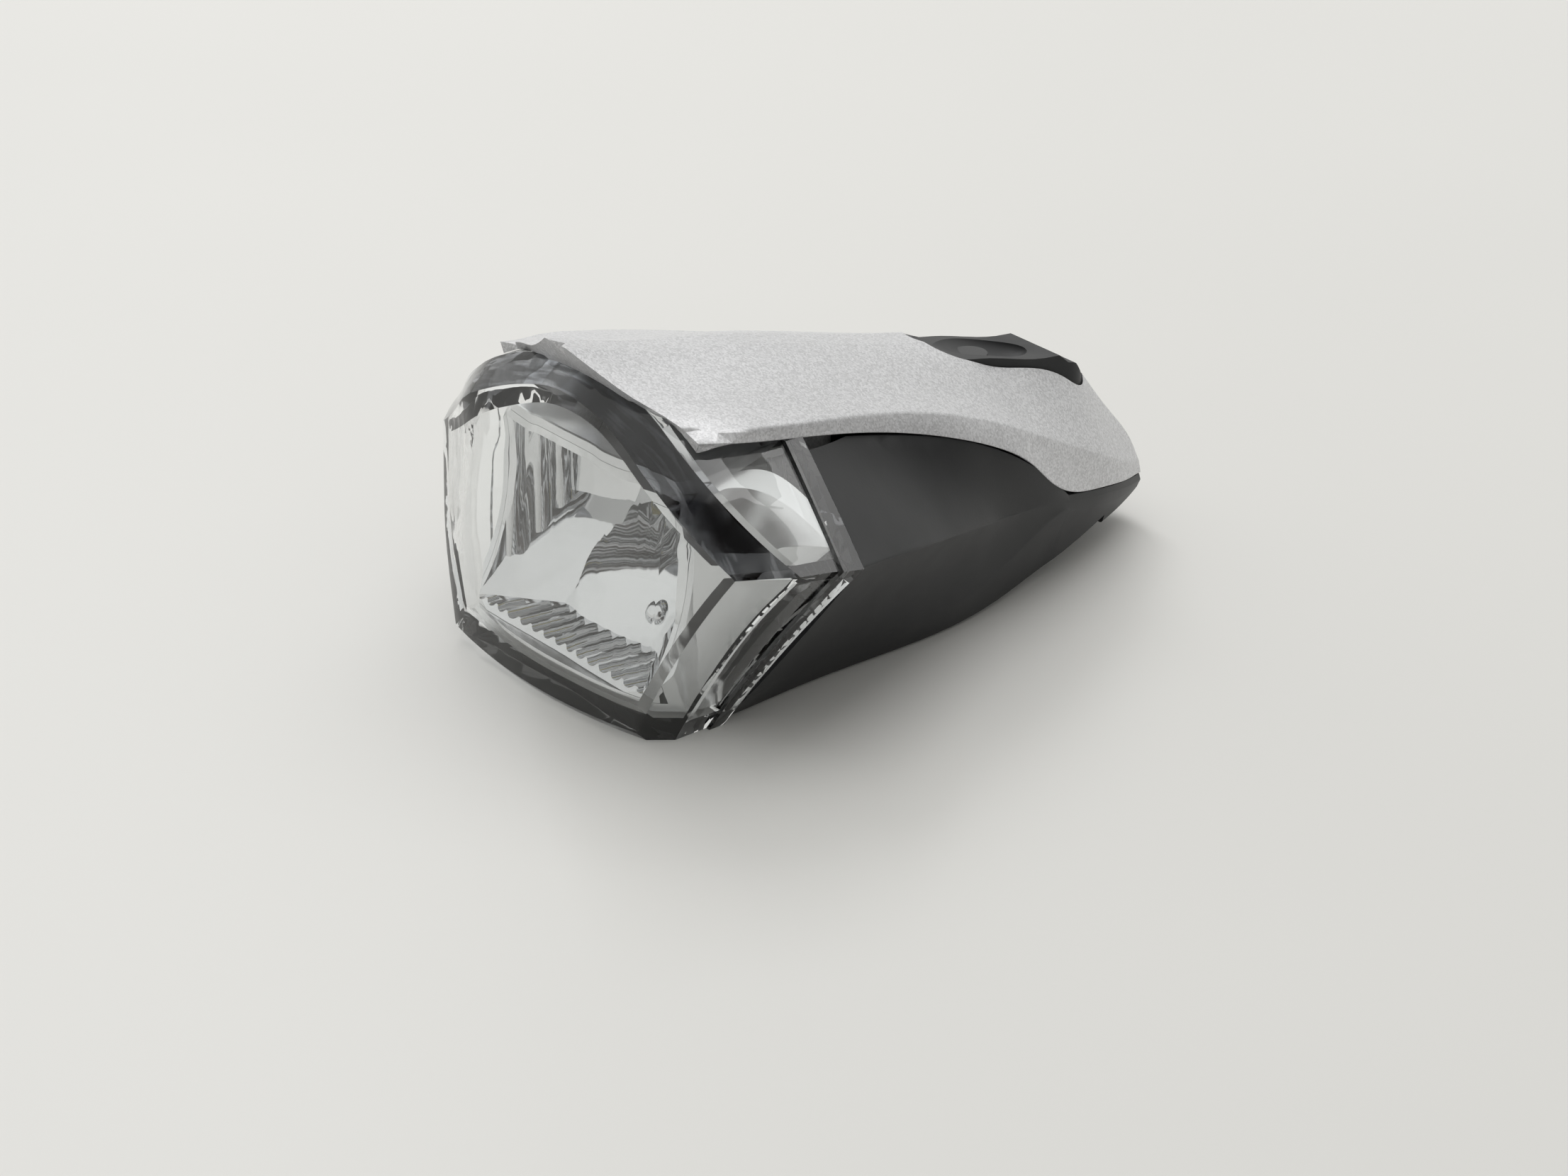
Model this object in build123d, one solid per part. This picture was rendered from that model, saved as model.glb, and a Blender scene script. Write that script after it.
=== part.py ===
from build123d import *
from math import atan, cos, degrees, radians, tan
import os

os.makedirs("parts", exist_ok=True)

# Battery headlight for a bicycle. While it is laid out, +Y runs from the lens
# to the tail, y = 0 is the line of the lens's lower corners, +X is to the right
# of someone who faces the lens and z = 0 is the flat underside. Millimetres.

# Clear lens: cylinder-shaped front that leans back, and a flaring skirt
face_radius = 69.3
face_lean = 0.165
face_centre_y = -2.95
lens_wall = 2.4
bevel = 2.8
sill_bevel = 0.9
lens_base_half = 20.0
lens_base_taper = 0.08
lens_corner_half = 31.3
lens_corner_y = 10.2
lens_corner_flare = 0.3
lens_corner_z = 21.4
lens_apex_y = 5.5
lens_apex_z = 42.2
lens_apex_fall = 0.08
lens_apex_radius = 28.0
lens_apex_spread = 0.6
rim_length = 2.2
rim_step = 0.5

# Joint between lens and housing: a plane that leans back, with a seal in it
seam_y = 9.5
seam_lean = 0.37
seam_gap = 0.8
seal_inset = 0.6

# Housing: creased hull with a rising rear underside
crease_front_half = 33.3
crease_front_y = 17.4
crease_front_z = 21.2
heel_half = 13.8
heel_y = 63.8
heel_z = 11.2
tail_y = 83.5
tail_half = 3.8
tail_z = 5.6
keel_front_half = 17.2
keel_front_y = 22.0
keel_mid_half = 15.2
keel_mid_y = 46.0
keel_rear_half = 9.6
keel_rear_y = 69.0
keel_rear_z = 2.6
housing_wall = 2.0
room_end_y = 70.0

# Top cover: shell with a straight crown and a curved lower edge
crown_front_z = 41.1
crown_slope = 0.227
crown_end_y = 71.0
crown_flat_half = 2.0
cover_wall = 1.8
cover_tip_y = 1.6
cover_front_lean = 0.784
notch_width = 2.4
notch_depth = 1.3
parting_gap = 0.15

# Power button: rubber cap in a slot of the cover, with a thumb scoop
button_half = 4.5
button_front_y = 51.0
button_rear_y = 75.4
button_sink = 1.1
button_peak_y = 69.6
button_peak_rise = 0.5
button_gap = 0.25
button_travel = 0.8
button_depth = 6.5
button_flange = 1.0
flange_step = 1.1
flange_end_y = 70.5
flange_gap = 0.3
scoop_depth = 0.9
scoop_length = 15.0

# Reflector: cup that is open at the front, with facets, a fluted floor and columns
mirror_wall = 0.8
cup_half = 16.0
cup_back_half = 8.3
cup_floor_z = 4.9
cup_crease_z = 14.7
cup_top_z = 25.2
floor_side_y = 2.2
floor_back_y = 8.6
crease_side_y = 14.6
crease_back_y = 18.9
top_side_y = 16.0
top_back_y = 21.0
ceiling_wall = 1.0
flute_pitch = 2.2
flute_radius = 1.15
flute_depth = 0.45
column_radius = 1.4
column_pitch = 2.9
column_front_y = 8.0
dimple_radius = 1.6
dimple_x = 4.5
dimple_z = 7.4
bar_half = 22.6
bar_z = 12.0
bar_height = 4.5
bar_wall = 1.4

# Bezel: polished frame round the reflector, behind the lens
bezel_wall = 1.0
bezel_gap = 0.05
bezel_lens_gap = 0.3
bezel_flare_y = 7.5
bezel_mid_y = 11.0
bezel_mid_half = 21.0
bezel_rear_y = 20.0
bezel_rear_half = 31.5
bezel_rear_rise = 6.2
bezel_line = 0.3
bezel_line_inset = 4.9

# Light engine
led_y = 16.0
led_size = 3.5
led_base = 0.6
dome_radius = 1.4
led_window = 5.0
led_board_wall = 1.2
led_board_half = 8.5
led_board_front_y = 12.3
led_board_rear_y = 22.3
led_tail_half = 4.0
led_tail_length = 2.1
sink_wall = 1.2
sink_half = 9.0
sink_front_y = 15.2
fin_front_y = 17.6
fin_count = 7
fin_wall = 0.8
fin_height = 2.4
lug_x = 12.0
lug_y = 20.3
lug_radius = 2.2
lug_screw_depth = 5.0

# Main board and what is on it
board_z = 17.2
board_wall = 1.2
board_front_y = 29.2
board_front_half = 16.5
board_taper_y = 42.0
board_rear_y = 65.2
board_rear_half = 6.6
chip_size = 5.0
chip_height = 1.0
chip_y = 46.0
coil_size = 6.0
coil_height = 3.0
coil_x = 8.0
coil_y = 38.0
capacitor_length = 3.2
capacitor_width = 1.6
capacitor_pitch = 3.4
switch_size = 6.0
switch_height = 2.6
switch_y = 59.5
actuator_radius = 1.6
actuator_gap = 0.1
actuator_rise = 2.0
plunger_radius = 2.2
plunger_depth = 1.2
flex_half = 2.5
flex_wall = 0.3

# Battery
cell_width = 22.0
cell_length = 26.0
cell_height = 11.2
cell_front_y = 31.0
cell_corner = 2.0
lower_pad = 1.4
pad_width = 5.0
tab_width = 4.0
tab_wall = 0.25
tab_x = 6.0

# Charging port and its flap, hinged at the front edge
port_y = 27.9
port_width = 8.0
port_depth = 3.0
port_height = 5.6
port_wall = 0.4
port_gap = 0.3
port_board_half = 7.0
port_board_wall = 1.0
flap_width = 13.0
flap_length = 9.0
flap_wall = 1.0
flap_gap = 0.3
flap_plug = 1.2
plug_gap = 0.45

# Slide-in mount: side grooves in the rear underside, and a latch pocket in front
groove_height = 1.5
groove_depth = 2.6
groove_front_y = 49.0
groove_rear_y = 74.0
groove_z = 3.6
groove_pitch_deg = 12.0
groove_reach = 8.0
pocket_half = 8.0
pocket_length = 9.0
pocket_depth = 1.0

# Screws, with the bosses that they go into
screw_radius = 1.0
screw_head_radius = 1.9
screw_head_height = 1.2
bore_gap = 0.1
boss_radius = 2.8
cover_screw_x = 13.2
cover_screw_y = 25.6
cover_screw_seat = 1.8
cover_screw_tip = 20.0
boss_split_z = 12.2
board_boss_radius = 2.4
board_screw_front = (14.0, 34.0)
board_screw_rear = (6.0, 61.0)
board_screw_depth = 5.0
reflector_screw_x = 20.6
reflector_screw_depth = 4.6
post_inner_x = 18.2
post_length = 5.6


def along(y, *knots):
    """Value at y on straight runs between (y, value) knots."""
    for (y0, v0), (y1, v1) in zip(knots, knots[1:]):
        if y <= y1 or (y1, v1) == knots[-1]:
            return v0 + (v1 - v0) * (y - y0) / (y1 - y0)


def mirrored(x):
    return (-x, x)


# Guide curves of the hull, as half width and height at y

def crease(y):
    """Side crease, straight from the seam to the heel and then in to the tail."""
    x = along(y, (crease_front_y, crease_front_half), (heel_y, heel_half), (70.0, 11.3), (77.0, 7.9),
              (tail_y, tail_half))
    z = along(y, (crease_front_y, crease_front_z), (heel_y, heel_z), (tail_y, tail_z))
    return x, z


def keel(y):
    """Lower edge, flat on the ground and then rising."""
    x = along(y, (keel_front_y, keel_front_half), (keel_mid_y, keel_mid_half), (57.0, 12.6),
              (keel_rear_y, keel_rear_half), (77.0, 6.4), (tail_y, tail_half - 0.8))
    z = along(y, (10.0, 0.0), (50.0, 0.0), (keel_rear_y, keel_rear_z), (tail_y, tail_z - 2.2))
    return x, z


def parting(y):
    """Lower edge of the cover."""
    x = along(y, (8.5, 16.9), (20.8, 18.8), (35.3, 19.0), (46.3, 19.0), (54.0, 17.5), (62.0, 14.6),
              (heel_y, heel_half), (70.0, 11.3), (77.0, 7.9), (tail_y, tail_half))
    z = along(y, (8.5, 32.0), (20.8, 30.6), (35.3, 27.7), (46.3, 23.9), (54.0, 19.2), (62.0, 12.9),
              (heel_y, heel_z), (tail_y, tail_z))
    return x, z


def shoulder(y):
    """Soft crease of the cover above its lower edge."""
    x = along(y, (8.5, 16.5), (20.8, 18.4), (36.5, 17.6), (48.0, 16.9), (54.5, 15.4), (61.0, 13.2),
              (73.0, 9.8), (79.0, 6.7), (tail_y, tail_half - 0.4))
    z = along(y, (8.5, 34.1), (20.8, 32.4), (36.5, 29.8), (48.0, 25.8), (54.5, 22.6), (61.0, 18.9),
              (73.0, 12.4), (79.0, 9.2), (tail_y, tail_z + 1.6))
    return x, z


def crown(y):
    """Height of the cover's centre line."""
    z_end = crown_front_z - crown_slope * crown_end_y
    return along(y, (0.0, crown_front_z), (crown_end_y, z_end), (76.5, 18.4), (80.5, 13.6),
                 (tail_y, tail_z + 3.6))


def cover_top(x, y):
    """Height of the cover's outside on its main slope."""
    xm, zm = shoulder(y)
    return crown(y) + (zm - crown(y)) * (abs(x) - crown_flat_half) / (xm - crown_flat_half)


# Section tools

def shrink(points, d):
    """Right half of a symmetric outline with each side moved in by d."""
    moved = []
    for i, (x, z) in enumerate(points):
        before, after = Vector(0, -1), Vector(0, 1)
        if i:
            run = Vector(x - points[i - 1][0], z - points[i - 1][1]).normalized()
            before = Vector(run.Y, -run.X)
        if i < len(points) - 1:
            run = Vector(points[i + 1][0] - x, points[i + 1][1] - z).normalized()
            after = Vector(run.Y, -run.X)
        elif x == 0:
            after = Vector(-before.X, before.Y)
        step = (before + after) * (d / (1 + before.dot(after)))
        moved.append((x - step.X, z - step.Y))
    return moved


def ring(y, points, radii):
    """Face at y, symmetric about x = 0, from its right half, lowest point first, with rounded corners."""
    right = [(Vector(x, y, z), r) for (x, z), r in zip(points, radii)]
    left = [(Vector(-p.X, y, p.Z), r) for p, r in reversed(right) if p.X > 0]
    corners = right + left
    arcs = []
    ends = []
    for i, (p, r) in enumerate(corners):
        back = corners[i - 1][0] - p
        on = corners[(i + 1) % len(corners)][0] - p
        if r == 0:
            ends.append((p, p))
            continue
        half_turn = radians(180 - back.get_angle(on)) / 2
        reach = min(r * tan(half_turn), 0.45 * back.length, 0.45 * on.length)
        dip = reach / tan(half_turn) * (1 / cos(half_turn) - 1)
        start, end = p + back.normalized() * reach, p + on.normalized() * reach
        middle = p + (back.normalized() + on.normalized()).normalized() * dip
        arcs.append(ThreePointArc(start, middle, end))
        ends.append((start, end))
    sides = [Line(ends[i][1], ends[(i + 1) % len(ends)][0]) for i in range(len(ends))]
    return make_face(arcs + sides)


def side_cut(*points, half=60.0):
    """Block with a YZ outline, both ways along X."""
    outline = make_face(Polyline(*[(0, y, z) for y, z in points], close=True))
    return extrude(outline, half, dir=(1, 0, 0), both=True)


def plan_cut(points, z0, z1):
    """Upright block with an XY outline."""
    outline = make_face(Polyline(*[(x, y, z0) for x, y in points], close=True))
    return extrude(outline, z1 - z0, dir=(0, 0, 1))


def behind(offset):
    """Everything behind the seam plane, moved back by offset."""
    low, high = -10.0, 60.0
    return side_cut((seam_y + seam_lean * low + offset, low), (120.0, low), (120.0, high),
                    (seam_y + seam_lean * high + offset, high))


def slot_prism(half_width, y0, y1, z0, z1):
    """Upright block with round ends, along Y."""
    plan = Location((0, (y0 + y1) / 2, z0)) * SlotOverall(y1 - y0, 2 * half_width, rotation=90)
    return extrude(plan, z1 - z0, dir=(0, 0, 1))


def block(x0, x1, y0, y1, z0, z1):
    centre = ((x0 + x1) / 2, (y0 + y1) / 2, (z0 + z1) / 2)
    return Location(centre) * Box(x1 - x0, y1 - y0, z1 - z0)


def rod(radius, x, y, z0, z1):
    return Location((x, y, (z0 + z1) / 2)) * Cylinder(radius, z1 - z0)


def screw(length):
    """Pan-head screw along Z with its head on z = 0 and its shank below."""
    head = rod(screw_head_radius, 0, 0, 0, screw_head_height)
    shank = rod(screw_radius, 0, 0, -length, 0)
    cross = Box(2.2, 0.5, 1.2) + Box(0.5, 2.2, 1.2)
    return head + shank - Location((0, 0, screw_head_height)) * cross


def group(solids):
    return Compound(list(solids))


# Lens

def lens_ring(y, inset):
    """Section of the lens: flat sill, two flaring sides and an arched roof."""
    corners = [(lens_base_half - lens_base_taper * y, 0.0),
               (lens_corner_half + lens_corner_flare * (y - lens_corner_y), lens_corner_z),
               (0.0, lens_apex_z - lens_apex_fall * (y - lens_apex_y))]
    roof = lens_apex_radius + lens_apex_spread * (y - lens_apex_y)
    return ring(y, shrink(corners, inset), [0, 0, roof - inset])


def lens_tube(inset):
    return loft([lens_ring(-8.0, inset), lens_ring(34.0, inset)], ruled=True)


def drum(inset):
    """Leaning cylinder whose front is the lens's face, moved in by inset."""
    lean = atan(face_lean)
    place = Location((0, face_centre_y + face_radius / cos(lean), 0)) * Rot(-degrees(lean), 0, 0)
    return place * Cylinder(face_radius - inset, 200)


def lens_body(inset):
    """Solid lens shape, moved in by inset, with its bevelled front."""
    body = lens_tube(inset) & drum(inset)
    edges = body.faces().sort_by(Axis.Y)[0].edges().sort_by(Axis.Z)
    body = chamfer(edges[1:], bevel)
    sill = body.faces().sort_by(Axis.Y)[0].edges().sort_by(Axis.Z)[0]
    return chamfer(sill, sill_bevel)


def lid_space():
    """All that lies above the cover's underside, between its edges."""
    shafts = [ring(y, [(parting(y)[0], parting(y)[1]), (parting(y)[0], 60.0)], [0, 0])
              for y in cover_stations if y < 40]
    return loft(shafts) - cover_room(cover_wall + parting_gap) - cover_front(parting_gap)


def make_lens(core, lid):
    skirt = lens_tube(-rim_step) & behind(-rim_length)
    skirt -= block(-60, 60, -20, 60, -10, 0)
    return lens_body(0) + skirt - behind(0) - core - lid


def make_lens_seal(core, lid):
    band = lens_tube(seal_inset) & behind(0) - behind(seam_gap)
    return band - core - lid


# Hull, which the housing and the cover share

cover_stations = (-4.0, 8.5, 21.0, 36.0, 48.0, 56.0, 63.0, 72.0, 77.0, 81.0, tail_y)


def housing_ring(y):
    (xb, zb), (xc, zc), (xs, zs) = keel(y), crease(y), parting(y)
    knee = along(y, (20.0, 0.2), (45.0, 0.28), (54.0, 0.55), (heel_y, 0.8), (tail_y, 0.45))
    bulge = along(y, (20.0, 0.15), (45.0, 0.2), (54.0, 0.5), (heel_y, 0.7), (tail_y, 0.15))
    xe, ze = xb + (xc - xb) * knee + bulge, zb + (zc - zb) * knee
    if y >= heel_y:
        zc = zs - 0.7
    points = [(xb, zb), (xe, ze), (xc, zc), (xs - 0.3, zs)]
    return ring(y, points, [0.8, 1.5 if y < heel_y else 0.6, 0.25, 0.1])


def room_ring(y):
    """Section of the room inside the housing, open at the top."""
    (xb, zb), (xc, zc), (xs, zs) = keel(y), crease(y), parting(y)
    outline = shrink([(xb, zb), (xc, zc), (xs - 0.3, zs)], housing_wall)
    return ring(y, outline[:2] + [(outline[2][0], zs + 1.0)], [0, 0, 0])


def make_hull(lid_solid):
    """Outside of the housing, filled, up to the underside of the filled cover."""
    front = loft([housing_ring(y) for y in (6.0, 20.0, 32.0, 44.0, 54.0, heel_y)])
    rear = loft([housing_ring(y) for y in (heel_y, 70.0, 77.0, tail_y)])
    return front + rear - block(-60, 60, -20, 120, -10, 0) - lid_solid


def cover_ring(y, inset=0.0, skirt=0.0):
    (xs, zs), (xm, zm), zt = parting(y), shoulder(y), crown(y)
    points = [(xs, zs + parting_gap), (xm, zm), (crown_flat_half, zt)]
    if not inset:
        return ring(y, points, [0.15, 0.8, 1.0])
    (xs, zs), (xm, zm), (xt, zt) = shrink(points, inset)
    return ring(y, [(xs, zs - inset - skirt), (xm, zm), (max(xt, 0.8), zt)], [0, 0.4, 0.4])


def cover_room(inset):
    """Room under the cover, moved in from its outside by inset."""
    return loft([cover_ring(y, inset, 2.0) for y in cover_stations if y < crown_end_y + 2])


def cover_front(gap):
    """Everything in front of the cover's front edge, less a gap."""
    return side_cut((cover_tip_y - gap - cover_front_lean * 30, crown_front_z + 30), (-60, 80), (-60, -20),
                    (cover_tip_y - gap + cover_front_lean * 60, crown_front_z - 60))


# Button shapes, which the cover's slot follows

def button_zone(grow, drop):
    """Space of the button down to its rear foot, larger by grow and lower by drop."""
    rear = button_rear_y + grow
    prism = slot_prism(button_half + grow, button_front_y - grow, rear, 10, 50)
    foot = crown(button_rear_y) - 4.2 - drop
    step_y = flange_end_y + grow
    return prism & side_cut(*above_crown(button_depth + drop, step_y), (step_y, crown(step_y) - 5.0 - drop),
                            (rear + 1, foot), (rear + 1, 50), (button_front_y - 5, 50))


def above_crown(depth, end_y):
    """Two points of a side view, on a line that runs below the crown."""
    start_y = button_front_y - 5
    return (start_y, crown(start_y) - depth), (end_y, crown(end_y) - depth)


def button_top():
    """Everything above the button's back, which dips and then rises to a peak."""
    y0, y1 = button_front_y, button_peak_y
    front = (0, y0 - 2, crown(y0 - 2) - button_sink + 0.3)
    points = [front, (0, y0 + 5, crown(y0 + 5) - button_sink - 0.2), (0, y1 - 5, crown(y1 - 5) - 0.3),
              (0, y1, crown(y1) + button_peak_rise)]
    brow = (0, y1 + 1.4, crown(y1) - 0.9)
    tail = (0, button_rear_y + 1, crown(button_rear_y) - 1.9)
    lid = [Spline(*points), Line(points[-1], brow), Line(brow, tail),
           Polyline(tail, (0, tail[1], 60), (0, front[1], 60), front)]
    return extrude(make_face(lid), 30, dir=(1, 0, 0), both=True)


def make_power_button():
    cap = button_zone(0, 0) - button_top() - cover_room(cover_wall + flange_gap + button_flange)
    wide = slot_prism(button_half + flange_step, button_front_y - flange_step, flange_end_y, 10, 50)
    wide &= side_cut(*above_crown(button_depth, flange_end_y), (flange_end_y, 50), (button_front_y - 5, 50))
    layer = cover_room(cover_wall + flange_gap) - cover_room(cover_wall + flange_gap + button_flange)
    cap += wide & layer
    scoop_y = (button_front_y + button_peak_y) / 2
    width = button_half - 0.5
    bowl_z = crown(scoop_y) - button_sink + 1.2
    bowl = scale(Sphere(1.0), by=(width, scoop_length / 2, scoop_depth + 1.2))
    cap -= Location((0, scoop_y, bowl_z)) * Rot(-degrees(atan(crown_slope)), 0, 0) * bowl
    return cap - rod(plunger_radius, 0, switch_y, actuator_top() - 5, plunger_top())


def actuator_top():
    return board_z + board_wall + switch_height + actuator_rise


def plunger_top():
    return crown(switch_y) - cover_wall - flange_gap - button_flange + plunger_depth


# Housing

def groove(side):
    """Side groove of the slide-in mount, along the outline of the rear underside."""
    span = [(groove_front_y + (groove_rear_y - groove_front_y) * i / 3) for i in range(4)]
    outer = [(side * (keel(y)[0] + groove_reach), y) for y in span]
    inner = [(side * (keel(y)[0] - groove_depth), y) for y in reversed(span)]
    cut = plan_cut(outer + inner, -groove_height / 2, groove_height / 2)
    return Location((0, groove_rear_y, groove_z)) * Rot(groove_pitch_deg, 0, 0) * \
        Location((0, -groove_rear_y, 0)) * cut


def flap_recess():
    """Recess of the flap, and the slot above it that shows the port."""
    knuckle = port_y - flap_length / 2
    recess = block(-flap_width / 2 - flap_gap, flap_width / 2 + flap_gap, knuckle - flap_gap,
                   knuckle + flap_length + flap_gap, -1, flap_wall + flap_gap)
    mouth = block(-port_width / 2 - port_gap, port_width / 2 + port_gap, port_y - port_depth / 2 - port_gap,
                  port_y + port_depth / 2 + port_gap, 0, housing_wall + 1)
    return recess + mouth


def make_housing(hull):
    room = loft([room_ring(y) for y in (4.0, 20.0, 32.0, 44.0, 54.0, 62.0, room_end_y)])
    body = (hull & behind(seam_gap)) - room
    bore = screw_radius + bore_gap
    for side in (-1, 1):
        x, y = side * cover_screw_x, cover_screw_y
        body += rod(boss_radius, x, y, 1.0, boss_split_z)
        body -= rod(bore, x, y, -1.0, 30.0)
        body -= rod(screw_head_radius + bore_gap, x, y, -1.0, cover_screw_seat)
        for x, y in (board_screw_front, board_screw_rear):
            body += rod(board_boss_radius, side * x, y, housing_wall + 0.5, board_z)
            body -= rod(bore, side * x, y, board_z - board_screw_depth, board_z + 1)
        x = side * post_inner_x
        post = block(min(x, 2 * x), max(x, 2 * x), bar_back_y(), bar_back_y() + post_length, bar_z,
                     bar_z + bar_height)
        body += post & hull
        hole = Location((side * reflector_screw_x, bar_back_y(), bar_z + bar_height / 2))
        body -= hole * Rot(90, 0, 0) * Cylinder(bore, 2 * reflector_screw_depth)
        body -= groove(side)
    body -= flap_recess()
    return body - block(-pocket_half, pocket_half, groove_front_y - pocket_length, groove_front_y, -1,
                        pocket_depth)


def make_cover(lid_solid):
    shell = lid_solid - cover_room(cover_wall) - cover_front(0)
    notch = make_face(Polyline((-notch_width / 2, -5), (-notch_width / 2, cover_tip_y),
                               (0, cover_tip_y + notch_depth), (notch_width / 2, cover_tip_y),
                               (notch_width / 2, -5), close=True))
    shell -= Location((0, 0, crown(0) - 2 * cover_wall)) * extrude(notch, 4 * cover_wall)
    shell -= button_zone(button_gap, button_travel + button_gap)
    for x in mirrored(cover_screw_x):
        top = cover_top(cover_screw_x + boss_radius, cover_screw_y) - 0.5
        shell += rod(boss_radius, x, cover_screw_y, boss_split_z, top)
        shell -= rod(screw_radius + bore_gap, x, cover_screw_y, 0, cover_screw_tip + 1)
    return shell


# Reflector and bezel

def cup_outline(side_y, back_y, grow=0.0):
    """Plan of the reflector's cup at one level, open far to the front."""
    half, back = cup_half + grow, cup_back_half + grow / 2
    return [(-half, -20), (half, -20), (half, side_y + grow / 2), (back, back_y + grow),
            (-back, back_y + grow), (-half, side_y + grow / 2)]


def cup(grow):
    """Solid of the reflector's cup, larger by grow at its walls."""
    levels = [(cup_floor_z, floor_side_y, floor_back_y), (cup_crease_z, crease_side_y, crease_back_y),
              (cup_top_z, top_side_y, top_back_y)]
    faces = [make_face(Polyline(*[(x, y, z) for x, y in cup_outline(ys, yb, grow)], close=True))
             for z, ys, yb in levels]
    return loft(faces, ruled=True)


def in_front_of_aperture(low):
    """Everything in front of the curved side edges of the aperture, above low."""
    edge = [(1.8, low), (5.1, 9.0), (6.7, 13.0), (7.6, 18.0), (7.2, cup_top_z)]
    curve = Spline(*[(0, y, z) for y, z in edge])
    rest = Polyline((0, 7.2, cup_top_z), (0, 7.0, 60), (0, -60, 60), (0, -60, low), (0, 1.8, low))
    return extrude(make_face([curve, rest]), 60, dir=(1, 0, 0), both=True)


def bar_back_y():
    return crease_back_y + mirror_wall + 0.3 + bar_wall


def led_seat_z():
    return cup_top_z + ceiling_wall


def make_reflector():
    wall = mirror_wall * 1.4
    shell = cup(wall)
    floor_plan = cup_outline(floor_side_y, floor_back_y, wall)
    shell += plan_cut(floor_plan, cup_floor_z - mirror_wall - 0.1, cup_floor_z)
    shell += plan_cut(cup_outline(top_side_y, top_back_y, wall), cup_top_z, led_seat_z())
    shell &= block(-cup_half - mirror_wall, cup_half + mirror_wall, -10, 60, -10, 60)
    bar_y = bar_back_y()
    shell += block(-bar_half, bar_half, bar_y - bar_wall, bar_y, bar_z, bar_z + bar_height)
    for x in mirrored(lug_x):
        shell += rod(lug_radius, x, lug_y, led_seat_z() - lug_screw_depth - 1, led_seat_z())
    hollow = cup(0)
    flutes = [Location((i * flute_pitch, 0, cup_floor_z + flute_radius - flute_depth)) *
              Rot(90, 0, 0) * Cylinder(flute_radius, 60) for i in range(-7, 8)]
    trough = plan_cut(cup_outline(floor_side_y, floor_back_y), cup_floor_z - 1, cup_floor_z)
    shell -= hollow + (group(flutes) & trough)
    for i in range(3):
        for x in mirrored(cup_half + 0.4):
            column = rod(column_radius, x, column_front_y + i * column_pitch, cup_floor_z, cup_top_z)
            shell += column & block(-cup_half - 0.5, cup_half + 0.5, -10, 60, 0, 60) & hollow
    dimple_y = floor_back_y + (dimple_z - cup_floor_z) * (crease_back_y - floor_back_y) / \
        (cup_crease_z - cup_floor_z)
    shell += Location((dimple_x, dimple_y + dimple_radius / 3, dimple_z)) * Sphere(dimple_radius)
    shell -= block(-led_window / 2, led_window / 2, led_y - led_window / 2, led_y + led_window / 2,
                   cup_top_z - 1, led_seat_z() + 1)
    for x in mirrored(lug_x):
        shell -= rod(screw_radius + bore_gap, x, lug_y, led_seat_z() - lug_screw_depth, led_seat_z() + 1)
    for x in mirrored(reflector_screw_x):
        shell -= Location((x, bar_y, bar_z + bar_height / 2)) * Rot(90, 0, 0) * \
            Cylinder(screw_radius + bore_gap, 10)
    shell &= lens_body(lens_wall + bezel_lens_gap)
    return shell - in_front_of_aperture(cup_floor_z - mirror_wall - 0.1)


def bezel_tube(inset):
    """Duct that wraps the reflector's mouth and flares back to follow the lens."""
    half = cup_half + mirror_wall + bezel_gap + bezel_wall
    low = cup_floor_z - mirror_wall - 0.1 - bezel_gap - bezel_wall
    top = led_seat_z() + bezel_gap + bezel_wall
    front = [(half, low), (half, lens_corner_z - 0.9), (half, top), (0, top)]
    middle = [(half, low), (bezel_mid_half, lens_corner_z - 0.6), (half + 0.1, top + 0.9), (0, top + 2.3)]
    rear = [(half - 0.8, low - 0.3), (bezel_rear_half, lens_corner_z), (half, top + 2.2),
            (0, top + bezel_rear_rise)]
    stations = [(-4.0, front), (bezel_flare_y, front), (bezel_mid_y, middle), (bezel_rear_y, rear)]
    return loft([ring(y, shrink(points, inset), [0, 0, 0, 0]) for y, points in stations], ruled=True)


def make_bezel():
    shell = bezel_tube(0) - bezel_tube(bezel_wall) - in_front_of_aperture(cup_floor_z - mirror_wall - 0.1)
    shell &= lens_body(lens_wall + bezel_lens_gap)
    shell -= behind(-bezel_gap)
    shell -= block(-lug_x - lug_radius - 1.4, lug_x + lug_radius + 1.4, fin_front_y - 0.6, 60,
                   led_seat_z() - 1, 60)
    top = cup_floor_z - mirror_wall - 0.1 - bezel_gap
    line = drum(bezel_line_inset) - drum(bezel_line_inset + bezel_line)
    return shell - (line & block(-12, 12, -20, 10, top - bezel_line, top + 0.2))


# Light engine

def lugged(plate, z0, z1):
    """Plate of the light engine with its two screw lugs and their holes."""
    for x in mirrored(lug_x):
        plate += rod(lug_radius, x, lug_y, z0, z1)
        plate += block(min(0, x), max(0, x), lug_y - lug_radius, lug_y + lug_radius, z0, z1)
    for x in mirrored(lug_x):
        plate -= rod(screw_radius + bore_gap, x, lug_y, z0 - 1, z1 + 1)
    return plate


def make_led_board():
    z0, z1 = led_seat_z(), led_seat_z() + led_board_wall
    plate = block(-led_board_half, led_board_half, led_board_front_y, led_board_rear_y, z0, z1)
    plate += block(-led_tail_half, led_tail_half, led_board_rear_y, led_board_rear_y + led_tail_length, z0, z1)
    return lugged(plate, z0, z1)


def make_led_emitter():
    z = led_seat_z()
    base = block(-led_size / 2, led_size / 2, led_y - led_size / 2, led_y + led_size / 2, z - led_base, z)
    dome = Location((0, led_y, z - led_base)) * Sphere(dome_radius)
    return base + (dome & rod(dome_radius, 0, led_y, z - led_base - dome_radius, z - led_base / 2))


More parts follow.
